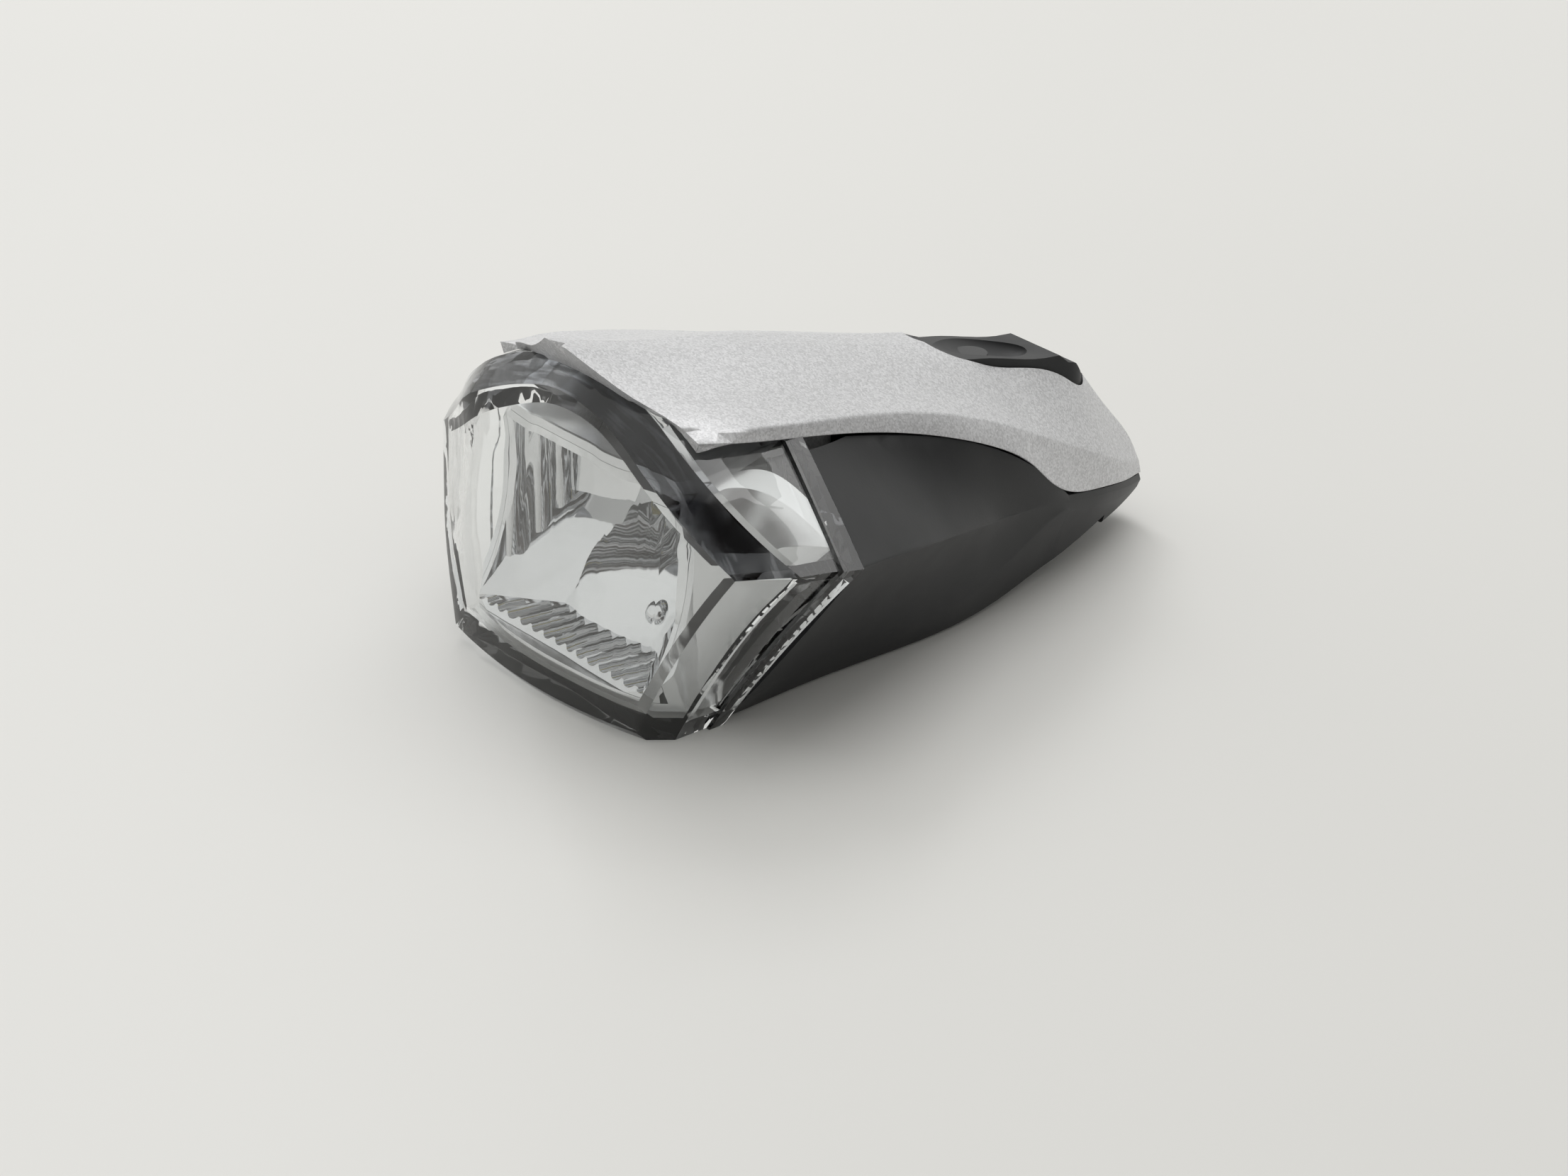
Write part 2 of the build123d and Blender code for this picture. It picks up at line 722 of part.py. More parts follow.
def make_heat_sink():
    z0 = led_seat_z() + led_board_wall
    z1 = z0 + sink_wall
    plate = lugged(block(-sink_half, sink_half, sink_front_y, led_board_rear_y, z0, z1), z0, z1)
    pitch = (2 * sink_half - fin_wall) / (fin_count - 1)
    for i in range(fin_count):
        x = -sink_half + fin_wall / 2 + i * pitch
        plate += block(x - fin_wall / 2, x + fin_wall / 2, fin_front_y, led_board_rear_y, z1, z1 + fin_height)
    return plate


def make_led_flex():
    """Ribbon from the light engine's board down to the main board."""
    z0, z1 = led_seat_z() + led_board_wall, board_z + board_wall
    y0 = led_board_rear_y + led_tail_length
    path = [(y0 - 1.4, z0), (y0 + 1.4, z0), (board_front_y - 1.6, z0 - 4), (board_front_y - 1.6, z1 + 2),
            (board_front_y + 0.6, z1), (board_front_y + 3, z1)]
    back = [(y, z + flex_wall) for y, z in path[:2]] + \
        [(y + flex_wall, z + flex_wall) for y, z in path[2:4]] + [(y, z + flex_wall) for y, z in path[4:]]
    return side_cut(*path, *reversed(back), half=flex_half)


# Boards and battery

def make_main_board():
    half = [(board_front_half, board_front_y), (board_front_half, board_taper_y),
            (board_rear_half, board_rear_y)]
    outline = half + [(-x, y) for x, y in reversed(half)]
    plate = plan_cut(outline, board_z, board_z + board_wall)
    for x, y in (board_screw_front, board_screw_rear):
        for side in (-1, 1):
            plate -= rod(screw_radius + bore_gap, side * x, y, board_z - 1, board_z + board_wall + 1)
    return plate


def on_board(x, y, width, length, height):
    top = board_z + board_wall
    return block(x - width / 2, x + width / 2, y - length / 2, y + length / 2, top, top + height)


def make_switch():
    body = on_board(0, switch_y, switch_size, switch_size, switch_height)
    top = board_z + board_wall + switch_height
    well = button_travel + 2 * actuator_gap + 1.0
    return body - rod(actuator_radius + actuator_gap, 0, switch_y, top - well, top + 1)


def make_actuator():
    top = board_z + board_wall + switch_height
    return rod(actuator_radius, 0, switch_y, top - 1.0, actuator_top())


def make_coil():
    body = on_board(coil_x, coil_y, coil_size, coil_size, coil_height)
    return chamfer(body.edges().filter_by(Axis.Z), 1.2)


def make_capacitors():
    places = [(-coil_x, coil_y - capacitor_pitch), (-coil_x, coil_y), (-coil_x, coil_y + capacitor_pitch)]
    return group(on_board(x, y, capacitor_length, capacitor_width, capacitor_width) for x, y in places)


def cell_z():
    return housing_wall + lower_pad


def make_cell():
    z0 = cell_z()
    body = block(-cell_width / 2, cell_width / 2, cell_front_y, cell_front_y + cell_length, z0,
                 z0 + cell_height)
    return fillet(body.edges().filter_by(Axis.Y), cell_corner)


def make_battery_pads():
    rear = cell_front_y + 0.45 * cell_length
    lower = [block(x - pad_width / 2, x + pad_width / 2, cell_front_y + 2, rear, housing_wall, cell_z())
             for x in mirrored(pad_width)]
    upper = block(-pad_width, pad_width, cell_front_y + 4, rear, cell_z() + cell_height, board_z)
    return group(lower + [upper])


def make_battery_tabs():
    return group(block(x - tab_width / 2, x + tab_width / 2, cell_front_y - tab_wall, cell_front_y,
                       cell_z() + cell_height / 2, board_z) for x in mirrored(tab_x))


# Charging port

def make_charge_port():
    z0, z1 = housing_wall, housing_wall + port_height
    x, y = port_width / 2, port_depth / 2
    shell = fillet(block(-x, x, port_y - y, port_y + y, z0, z1).edges().filter_by(Axis.Z), 0.6)
    shell -= block(-x + port_wall, x - port_wall, port_y - y + port_wall, port_y + y - port_wall, z0 - 1,
                   z1 - port_wall)
    return shell + block(-x / 2, x / 2, port_y - 0.3, port_y + 0.3, z0 + flap_plug + 1.0, z1)


def make_port_board():
    y0 = port_y + port_depth / 2
    return block(-port_board_half, port_board_half, y0, y0 + port_board_wall, housing_wall + 0.5, board_z)


def make_port_flap():
    """Rubber flap with a round front edge at its hinge and a plug for the port."""
    y0, y1 = port_y - flap_length / 2, port_y + flap_length / 2
    radius = flap_wall / 2
    plate = block(-flap_width / 2, flap_width / 2, y0 + radius, y1, 0, flap_wall)
    corners = plate.edges().filter_by(Axis.Z).group_by(Axis.Y)[-1]
    plate = fillet(corners, 1.5)
    plate += Location((0, y0 + radius, radius)) * Rot(0, 90, 0) * Cylinder(radius, flap_width)
    x = port_width / 2 - port_wall - plug_gap
    y = port_depth / 2 - port_wall - plug_gap
    plug = block(-x, x, port_y - y, port_y + y, flap_wall, housing_wall + flap_plug)
    nick = Location((0, y1, 0)) * Rot(0, 90, 0) * Cylinder(0.4, flap_width / 3)
    return plate + plug - nick


# Screws

def make_cover_screws():
    length = cover_screw_tip - cover_screw_seat
    return group(Location((x, cover_screw_y, cover_screw_seat)) * Rot(180, 0, 0) * screw(length)
                 for x in mirrored(cover_screw_x))


def make_board_screws():
    z = board_z + board_wall
    places = [(side * x, y) for side in (-1, 1) for x, y in (board_screw_front, board_screw_rear)]
    return group(Location((x, y, z)) * screw(board_screw_depth + board_wall - 0.5) for x, y in places)


def make_led_screws():
    z = led_seat_z() + led_board_wall + sink_wall
    length = led_board_wall + sink_wall + lug_screw_depth - 0.5
    return group(Location((x, lug_y, z)) * screw(length) for x in mirrored(lug_x))


def make_reflector_screws():
    place = (bar_back_y() - bar_wall, bar_z + bar_height / 2)
    length = bar_wall + reflector_screw_depth - 0.5
    return group(Location((x, *place)) * Rot(90, 0, 0) * screw(length) for x in mirrored(reflector_screw_x))


def main():
    lid_solid = loft([cover_ring(y) for y in cover_stations])
    hull = make_hull(lid_solid)
    core = lens_body(lens_wall)
    lid = lid_space()
    pieces = {
        "lens": make_lens(core, lid),
        "lens_seal": make_lens_seal(core, lid),
        "bezel": make_bezel(),
        "reflector": make_reflector(),
        "led_emitter": make_led_emitter(),
        "led_board": make_led_board(),
        "heat_sink": make_heat_sink(),
        "led_screws": make_led_screws(),
        "reflector_screws": make_reflector_screws(),
        "led_flex": make_led_flex(),
        "housing": make_housing(hull),
        "top_cover": make_cover(lid_solid),
        "cover_screws": make_cover_screws(),
        "power_button": make_power_button(),
        "button_plunger": rod(plunger_radius, 0, switch_y, actuator_top(), plunger_top()),
        "switch_actuator": make_actuator(),
        "tact_switch": make_switch(),
        "main_board": make_main_board(),
        "board_screws": make_board_screws(),
        "driver_chip": on_board(0, chip_y, chip_size, chip_size, chip_height),
        "inductor": make_coil(),
        "capacitors": make_capacitors(),
        "battery_cell": make_cell(),
        "battery_pads": make_battery_pads(),
        "battery_tabs": make_battery_tabs(),
        "charge_port": make_charge_port(),
        "port_board": make_port_board(),
        "port_flap": make_port_flap(),
    }
    boxes = [piece.bounding_box() for piece in pieces.values()]
    middle_y = (min(box.min.Y for box in boxes) + max(box.max.Y for box in boxes)) / 2
    print("middle_y", round(middle_y, 3))
    for name, piece in pieces.items():
        export_step(Location((0, -middle_y, 0)) * piece, os.path.join("parts", name + ".step"))


if __name__ == "__main__":
    main()
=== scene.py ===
import math

import bmesh
import bpy
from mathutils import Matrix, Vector
from mathutils.bvhtree import BVHTree


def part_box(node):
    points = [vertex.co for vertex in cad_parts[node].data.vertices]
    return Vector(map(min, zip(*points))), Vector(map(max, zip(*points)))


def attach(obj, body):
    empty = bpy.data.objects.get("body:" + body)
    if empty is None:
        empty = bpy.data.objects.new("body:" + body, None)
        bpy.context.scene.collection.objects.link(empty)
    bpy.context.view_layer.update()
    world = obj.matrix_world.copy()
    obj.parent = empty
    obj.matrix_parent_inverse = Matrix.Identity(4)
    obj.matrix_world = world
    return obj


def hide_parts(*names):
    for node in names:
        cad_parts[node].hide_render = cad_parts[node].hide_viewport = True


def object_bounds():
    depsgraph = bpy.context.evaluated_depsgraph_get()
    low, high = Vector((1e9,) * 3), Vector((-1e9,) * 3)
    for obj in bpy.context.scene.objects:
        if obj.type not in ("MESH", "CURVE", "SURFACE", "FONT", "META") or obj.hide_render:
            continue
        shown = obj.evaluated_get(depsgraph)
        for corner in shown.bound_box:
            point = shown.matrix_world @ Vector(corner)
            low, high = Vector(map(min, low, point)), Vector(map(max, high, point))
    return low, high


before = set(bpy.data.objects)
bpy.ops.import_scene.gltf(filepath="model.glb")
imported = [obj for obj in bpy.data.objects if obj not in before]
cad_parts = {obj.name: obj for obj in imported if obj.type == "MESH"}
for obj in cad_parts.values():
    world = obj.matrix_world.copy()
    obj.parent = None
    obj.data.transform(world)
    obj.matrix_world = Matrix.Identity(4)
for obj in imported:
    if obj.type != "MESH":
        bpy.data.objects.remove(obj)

bl_info = {
    "name": "Bike light looks",
    "version": (1, 0, 0),
    "blender": (4, 5, 0),
    "location": "View3D > Sidebar > Bike light",
    "description": "Finishes, lights and camera for the bicycle headlight",
    "category": "Object",
}

CAD_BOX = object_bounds()
MM = 0.001
NOSE_Y = CAD_BOX[0][1]


# Colours and sizes


def linear(hex_colour):
    """An sRGB hex value as a linear colour with full alpha."""
    parts = [int(hex_colour[i:i + 2], 16) / 255 for i in (0, 2, 4)]
    return tuple(c / 12.92 if c <= 0.04045 else ((c + 0.055) / 1.055) ** 2.4 for c in parts) + (1.0,)


def colour_property(name, description, hex_colour):
    """A colour that a user may change, with its default given as sRGB hex."""
    return bpy.props.FloatVectorProperty(
        name=name, description=description, subtype="COLOR", size=4, min=0, max=1, default=linear(hex_colour))


def length_property(name, description, metres):
    """A length that a user may change, in metres."""
    return bpy.props.FloatProperty(
        name=name, description=description, unit="LENGTH", default=metres, precision=5)


class BikeLightColours(bpy.types.PropertyGroup):
    """Colours of the finishes."""

    silver: colour_property("Silver paint", "Metallic paint of the top cover", "cfcfd1")
    housing: colour_property("Housing", "Black moulding of the housing", "191a1c")
    button: colour_property("Button", "Rubber of the thumb button", "1c1d1f")
    flap: colour_property("Flap", "Rubber of the socket's flap", "1d1e20")
    seal: colour_property("Seal", "Rubber line behind the lens", "0c0c0d")
    chrome: colour_property("Chrome", "Metal film on the reflector and bezel", "e4e5e6")
    lens_tint: colour_property("Lens tint", "Faint tint of the clear lens", "fbfcfc")
    # Painted shade: the bevels of the clear lens are tinted this dark in place of the black case that they
    # show by bending the view.
    painted_bevel_shade: colour_property("Lens edge", "Dark look of the lens's bevelled edge", "26272a")
    floor: colour_property("Floor", "Pale floor under the light", "e3e2df")
    room: colour_property("Room", "Pale studio round the light", "e6e6e3")
    shade: colour_property("Dark side", "Unlit side of the studio behind the camera", "241a15")


class BikeLightSizes(bpy.types.PropertyGroup):
    """Sizes of the shaped skin, of the patterns and of the stage."""

    shoulder: length_property("Lens shoulder", "How far the lens swells at its shoulders", 0.0029)
    lens_rounding: length_property("Lens rounding", "Radius along the polished edges of the lens", 0.00045)
    brow_drop: length_property("Cover brow", "How far the front of the cover dips to the lens", 0.0007)
    waist: length_property("Waist", "How far the body draws in behind the lens", 0.0033)
    peak_drop: length_property("Button peak", "How far the rear peak of the button is lowered", 0.0014)
    seat_gap: length_property("Seat gap", "From the rim of the cover to the lens that it rests on", 0.00012)
    # Real flakes are about 0.03 mm across and spark-eroded grain is about 0.1 mm, too fine to show. Both are
    # drawn coarser.
    flake: length_property("Paint flake", "Spacing of the sparkle in the silver paint", 0.00022)
    grain: length_property("Moulded grain", "Spacing of the fine texture of the black moulding", 0.00035)
    floor_gap: length_property(
        "Floor gap", "From the flat underside to the floor, so that they don't flicker", 0.0002)
    floor_reach: length_property("Floor reach", "Half the width of the floor", 4.0)
    camera_distance: length_property("Camera distance", "From the camera to its target", 0.54122)
    camera_azimuth: bpy.props.FloatProperty(
        name="Camera azimuth", description="Turn of the camera round the light, from the front",
        unit="ROTATION", default=math.radians(53.0))
    camera_elevation: bpy.props.FloatProperty(
        name="Camera elevation", description="Height angle of the camera above the floor",
        unit="ROTATION", default=math.radians(24.233))
    camera_lens: bpy.props.FloatProperty(
        name="Camera lens", description="Focal length in millimetres on a 36 mm sensor", default=105.787)
    camera_target: bpy.props.FloatVectorProperty(
        name="Camera target", description="Point that the camera looks at", subtype="TRANSLATION", size=3,
        default=(-0.00768, -0.001968, -0.001366))


# Materials

POLYCARBONATE_IOR = 1.585
# Width of the faint waves that a clear moulding has in its faces.
MOULDING_WAVES = 9 * MM
# Width of the painted lines on the bevels, painted reflection and shade in place of what the glass mirrors
# and bends, and how they are stretched: thin from front to back, long along the arch and the sill.
PAINTED_STREAK_WIDTH = 2.6 * MM
PAINTED_STREAK_SCALE = (0.25, 2.4, 0.25)
# Nearly all values of a noise lie between these two.
NOISE_LOW = 0.3
NOISE_HIGH = 0.7


def add(tree, kind, inputs=None, ramp=(), **settings):
    """Adds one node with its settings and links. An input is a constant, or an output socket to link to it,
    and ramp holds the two colours of a colour ramp."""
    node = tree.nodes.new(kind)
    for name, value in settings.items():
        setattr(node, name, value)
    for name, value in (inputs or {}).items():
        if isinstance(value, bpy.types.NodeSocket):
            tree.links.new(value, node.inputs[name])
        else:
            node.inputs[name].default_value = value
    for place, colour in enumerate(ramp):
        node.color_ramp.elements[place].color = colour
    return node


def new_material(name):
    """An empty node material with its tree, and the object coordinates that its patterns read."""
    material = bpy.data.materials.new(name)
    material.use_nodes = True
    tree = material.node_tree
    tree.nodes.clear()
    place = add(tree, "ShaderNodeTexCoord").outputs["Object"]
    return material, tree, place


def scaled(colour, factor):
    """A colour made lighter or darker."""
    return tuple(min(1.0, c * factor) for c in colour[:3]) + (1.0,)


def lit_through(tree, glass):
    """A clear shader that lets the lamps' light pass straight on, so that it throws no shadow behind it."""
    window = add(tree, "ShaderNodeBsdfTransparent", {"Color": linear("f3f4f4")})
    rays = add(tree, "ShaderNodeLightPath")
    return add(tree, "ShaderNodeMixShader", {
        "Fac": rays.outputs["Is Shadow Ray"], 1: glass.outputs["BSDF"], 2: window.outputs["BSDF"]})


def clear_polycarbonate(colours):
    """Injection moulded and polished clear polycarbonate: glass-clear, with mirror-sharp facets."""
    material, tree, place = new_material("clear_polycarbonate")
    waves = add(tree, "ShaderNodeTexNoise", {"Vector": place, "Scale": 1 / MOULDING_WAVES, "Detail": 1.0})
    bump = add(tree, "ShaderNodeBump", {
        "Height": waves.outputs["Fac"], "Distance": 0.02 * MM, "Strength": 0.3})
    glass = add(tree, "ShaderNodeBsdfPrincipled", {
        "Base Color": tuple(colours.lens_tint), "Normal": bump.outputs["Normal"],
        "Roughness": 0.0, "IOR": POLYCARBONATE_IOR, "Transmission Weight": 1.0})
    add(tree, "ShaderNodeOutputMaterial", {"Surface": lit_through(tree, glass).outputs["Shader"]})
    return material


def painted_refraction_polycarbonate(name, dark, light, start, end):
    """A bevel of the clear lens with painted shade and painted reflection. The glass bends the view into the
    black case, and its dark tint and pale lines are painted into its colour in place of that. They turn from
    dark to light where their noise goes from start to end."""
    material, tree, place = new_material(name)
    waves = add(tree, "ShaderNodeTexNoise", {"Vector": place, "Scale": 1 / MOULDING_WAVES, "Detail": 1.0})
    bump = add(tree, "ShaderNodeBump", {
        "Height": waves.outputs["Fac"], "Distance": 0.04 * MM, "Strength": 0.5})
    along = add(tree, "ShaderNodeMapping", {"Vector": place, "Scale": PAINTED_STREAK_SCALE})
    painted_streaks = add(tree, "ShaderNodeTexNoise", {
        "Vector": along.outputs["Vector"], "Scale": 1 / PAINTED_STREAK_WIDTH})
    share = add(tree, "ShaderNodeMapRange", {
        "Value": painted_streaks.outputs["Fac"], "From Min": start, "From Max": end})
    # From painted shade at the dark end to a painted highlight over the arch, or to the clear tint under the
    # sill.
    tone = add(tree, "ShaderNodeValToRGB", {"Fac": share.outputs["Result"]}, ramp=(dark, light))
    edge = add(tree, "ShaderNodeBsdfPrincipled", {
        "Base Color": tone.outputs["Color"], "Normal": bump.outputs["Normal"],
        "Roughness": 0.0, "IOR": POLYCARBONATE_IOR, "Transmission Weight": 1.0})
    add(tree, "ShaderNodeOutputMaterial", {"Surface": lit_through(tree, edge).outputs["Shader"]})
    return material


def vacuum_chrome(name, colours, roughness, ripple_width):
    """Aluminium film laid on moulded plastic in vacuum: a near-perfect mirror with a faint ripple."""
    material, tree, place = new_material(name)
    ripple = add(tree, "ShaderNodeTexNoise", {"Vector": place, "Scale": 1 / ripple_width})
    haze = add(tree, "ShaderNodeMapRange", {
        "Value": ripple.outputs["Fac"], "To Min": roughness * 0.6, "To Max": roughness * 1.6})
    bump = add(tree, "ShaderNodeBump", {
        "Height": ripple.outputs["Fac"], "Distance": 0.01 * MM, "Strength": 0.35})
    film = add(tree, "ShaderNodeBsdfPrincipled", {
        "Base Color": tuple(colours.chrome), "Metallic": 1.0,
        "Roughness": haze.outputs["Result"], "Normal": bump.outputs["Normal"]})
    add(tree, "ShaderNodeOutputMaterial", {"Surface": film.outputs["BSDF"]})
    return material


def silver_flake_paint(colours, sizes):
    """Sprayed metallic paint: satin grey with a sparkle from aluminium flakes under a thin clear coat."""
    material, tree, place = new_material("silver_flake_paint")
    mottle_width = 1.2 * MM
    dull, bright = scaled(colours.silver, 0.82), scaled(colours.silver, 1.16)
    flakes = add(tree, "ShaderNodeTexVoronoi", {"Vector": place, "Scale": 1 / sizes.flake})
    flake = add(tree, "ShaderNodeSeparateColor", {"Color": flakes.outputs["Color"]})
    tone = add(tree, "ShaderNodeValToRGB", {"Fac": flake.outputs["Red"]}, ramp=(dull, bright))
    bump = add(tree, "ShaderNodeBump", {
        "Height": flake.outputs["Red"], "Distance": 0.006 * MM, "Strength": 0.4})
    mottle = add(tree, "ShaderNodeTexNoise", {"Vector": place, "Scale": 1 / mottle_width, "Detail": 3.0})
    satin = add(tree, "ShaderNodeMapRange", {
        "Value": mottle.outputs["Fac"], "From Min": NOISE_LOW, "From Max": NOISE_HIGH,
        "To Min": 0.36, "To Max": 0.42})
    paint = add(tree, "ShaderNodeBsdfPrincipled", {
        "Base Color": tone.outputs["Color"], "Metallic": 0.35, "Roughness": satin.outputs["Result"],
        "Coat Weight": 0.1, "Coat Roughness": 0.25, "Normal": bump.outputs["Normal"]})
    add(tree, "ShaderNodeOutputMaterial", {"Surface": paint.outputs["BSDF"]})
    return material


def textured_plastic(name, colour, grain, roughness=(0.4, 0.55)):
    """Moulded or pressed from a finely pebbled tool: dull, with a soft sheen and slow changes of tone."""
    material, tree, place = new_material(name)
    wear_width = 18 * MM
    wear = add(tree, "ShaderNodeTexNoise", {"Vector": place, "Scale": 1 / wear_width, "Detail": 3.0})
    tone = add(tree, "ShaderNodeValToRGB", {"Fac": wear.outputs["Fac"]}, ramp=(
        scaled(colour, 0.85), scaled(colour, 1.2)))
    dull = add(tree, "ShaderNodeMapRange", {
        "Value": wear.outputs["Fac"], "From Min": NOISE_LOW, "From Max": NOISE_HIGH,
        "To Min": roughness[0], "To Max": roughness[1]})
    pebbles = add(tree, "ShaderNodeTexNoise", {"Vector": place, "Scale": 1 / grain})
    bump = add(tree, "ShaderNodeBump", {
        "Height": pebbles.outputs["Fac"], "Distance": 0.012 * MM, "Strength": 0.6})
    plastic = add(tree, "ShaderNodeBsdfPrincipled", {
        "Base Color": tone.outputs["Color"], "Roughness": dull.outputs["Result"],
        "Normal": bump.outputs["Normal"]})
    add(tree, "ShaderNodeOutputMaterial", {"Surface": plastic.outputs["BSDF"]})
    return material


def moulded_rubber(name, colour, roughness=(0.55, 0.7)):
    """Moulded silicone rubber: matt, with a soft pale sheen where it turns away and a dusty tone. The pits of
    its skin are about 0.1 mm apart, too fine to show, so they are drawn 0.4 mm apart."""
    material, tree, place = new_material(name)
    dust_width = 6 * MM
    pit_spacing = 0.4 * MM
    dust = add(tree, "ShaderNodeTexNoise", {"Vector": place, "Scale": 1 / dust_width, "Detail": 4.0})
    tone = add(tree, "ShaderNodeValToRGB", {"Fac": dust.outputs["Fac"]}, ramp=(
        scaled(colour, 0.85), scaled(colour, 1.25)))
    matt = add(tree, "ShaderNodeMapRange", {
        "Value": dust.outputs["Fac"], "From Min": NOISE_LOW, "From Max": NOISE_HIGH,
        "To Min": roughness[0], "To Max": roughness[1]})
    skin = add(tree, "ShaderNodeTexNoise", {"Vector": place, "Scale": 1 / pit_spacing})
    bump = add(tree, "ShaderNodeBump", {
        "Height": skin.outputs["Fac"], "Distance": 0.01 * MM, "Strength": 0.5})
    rubber = add(tree, "ShaderNodeBsdfPrincipled", {
        "Base Color": tone.outputs["Color"], "Roughness": matt.outputs["Result"],
        "Sheen Weight": 0.05, "Sheen Roughness": 0.5, "Normal": bump.outputs["Normal"]})
    add(tree, "ShaderNodeOutputMaterial", {"Surface": rubber.outputs["BSDF"]})
    return material


def worked_metal(name, hex_colour, roughness, along, spacing):
    """Cut or drawn metal: fine lines run one way, from the tool or the die. Real ones are finer than 0.1 mm,
    and are drawn as coarse as spacing says, so that they show."""
    material, tree, place = new_material(name)
    bare = linear(hex_colour)
    stretched = add(tree, "ShaderNodeMapping", {"Vector": place, "Scale": along})
    lines = add(tree, "ShaderNodeTexNoise", {
        "Vector": stretched.outputs["Vector"], "Scale": 1 / spacing, "Detail": 3.0, "Roughness": 0.6})
    tone = add(tree, "ShaderNodeValToRGB", {"Fac": lines.outputs["Fac"]}, ramp=(
        scaled(bare, 0.85), scaled(bare, 1.1)))
    brushed = add(tree, "ShaderNodeMapRange", {
        "Value": lines.outputs["Fac"], "From Min": NOISE_LOW, "From Max": NOISE_HIGH,
        "To Min": roughness * 0.8, "To Max": roughness * 1.3})
    bump = add(tree, "ShaderNodeBump", {
        "Height": lines.outputs["Fac"], "Distance": 0.006 * MM, "Strength": 0.5})
    metal = add(tree, "ShaderNodeBsdfPrincipled", {
        "Base Color": tone.outputs["Color"], "Metallic": 1.0, "Roughness": brushed.outputs["Result"],
        "Normal": bump.outputs["Normal"]})
    add(tree, "ShaderNodeOutputMaterial", {"Surface": metal.outputs["BSDF"]})
    return material


def circuit_board(name, hex_mask, hex_tracks):
    """Glass-fibre board under solder mask: glossy, with paler copper tracks showing through. Real tracks are
    about 0.2 mm wide and would hardly show, so they are drawn as wider fields of copper."""
    material, tree, place = new_material(name)
    field_width = 2.2 * MM
    cells = add(tree, "ShaderNodeTexVoronoi", {
        "Vector": place, "Scale": 1 / field_width}, distance="MANHATTAN")
    copper = add(tree, "ShaderNodeMapRange", {
        "Value": cells.outputs["Distance"], "From Min": 0.48, "From Max": 0.52})
    tone = add(tree, "ShaderNodeValToRGB", {"Fac": copper.outputs["Result"]}, ramp=(
        linear(hex_mask), linear(hex_tracks)))
    gloss = add(tree, "ShaderNodeMapRange", {
        "Value": copper.outputs["Result"], "To Min": 0.3, "To Max": 0.42})
    bump = add(tree, "ShaderNodeBump", {
        "Height": copper.outputs["Result"], "Distance": 0.03 * MM, "Strength": 0.5})
    board = add(tree, "ShaderNodeBsdfPrincipled", {
        "Base Color": tone.outputs["Color"], "Roughness": gloss.outputs["Result"],
        "Normal": bump.outputs["Normal"]})
    add(tree, "ShaderNodeOutputMaterial", {"Surface": board.outputs["BSDF"]})
    return material


def phosphor_ceramic():
    """Chip under a cast phosphor layer: matt yellow, with a powdery grain. Real powder is about 0.01 mm, too
    fine to show, so it is drawn at 0.2 mm."""
    material, tree, place = new_material("phosphor_ceramic")
    powder_width = 0.2 * MM
    powder = add(tree, "ShaderNodeTexNoise", {"Vector": place, "Scale": 1 / powder_width})
    tone = add(tree, "ShaderNodeValToRGB", {"Fac": powder.outputs["Fac"]}, ramp=(
        linear("e8d67a"), linear("f3e8a8")))
    matt = add(tree, "ShaderNodeMapRange", {
        "Value": powder.outputs["Fac"], "To Min": 0.45, "To Max": 0.65})
    bump = add(tree, "ShaderNodeBump", {
        "Height": powder.outputs["Fac"], "Distance": 0.01 * MM, "Strength": 0.4})
    chip = add(tree, "ShaderNodeBsdfPrincipled", {
        "Base Color": tone.outputs["Color"], "Roughness": matt.outputs["Result"],
        "Normal": bump.outputs["Normal"]})
    add(tree, "ShaderNodeOutputMaterial", {"Surface": chip.outputs["BSDF"]})
    return material


def dress(node, material):
    """Gives every material slot of a CAD node the same finish."""
    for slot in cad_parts[node].material_slots:
        slot.material = material


# Shapes

# Each pair is where a change of shape starts and where it is complete. Back is counted from the nose, side
# from the middle plane, and height from the flat underside.

# The shoulders of the lens swell by one share low down, where it starts below the underside so that the sill
# swells too, and by the rest at the crown.
LOW_SHARE = 0.65
LOW_HEIGHT = (-6 * MM, 12 * MM)
CROWN_SHARE = 0.35
CROWN_HEIGHT = (22 * MM, 28 * MM)
SHOULDER_SIDE = (6 * MM, 18 * MM)
SHOULDER_END_BACK = (11 * MM, 20 * MM)
# The body draws in behind them.
WAIST_SIDE = (4 * MM, 15 * MM)
WAIST_END_SIDE = (20 * MM, 31 * MM)
WAIST_BACK = (15 * MM, 40 * MM)
WAIST_END_BACK = (49 * MM, 67 * MM)
WAIST_HEIGHT = (3 * MM, 15 * MM)
# The way to the photograph's camera. Points on the near side that move along it keep their place in the
# picture, while their mirror images change the far outline.
OUTWARD = (0.728, -0.549, 0.41)

# Corners of a merged copy that are closer than this become one.
WELD = 0.001 * MM
# Faces that meet at less than this angle become one, before edges are rounded.
FLAT_ANGLE = math.radians(0.5)
# Edges that stand out by more than this angle are rounded, as far back from the nose as this.
ROUNDED_ANGLE = math.radians(25)
ROUNDED_BACK = 15 * MM
# Edges longer than each of these in turn are cut in two.
CUT_LENGTHS = (8 * MM, 4 * MM, 2.5 * MM)
# An edge is shaded sharp where its faces meet at more than this angle.
CREASE_ANGLE = math.radians(20)


def ease(value, start, end):
    """A smooth step, from 0 at start to 1 at end."""
    share = min(1.0, max(0.0, (value - start) / (end - start)))
    return share * share * (3 - 2 * share)


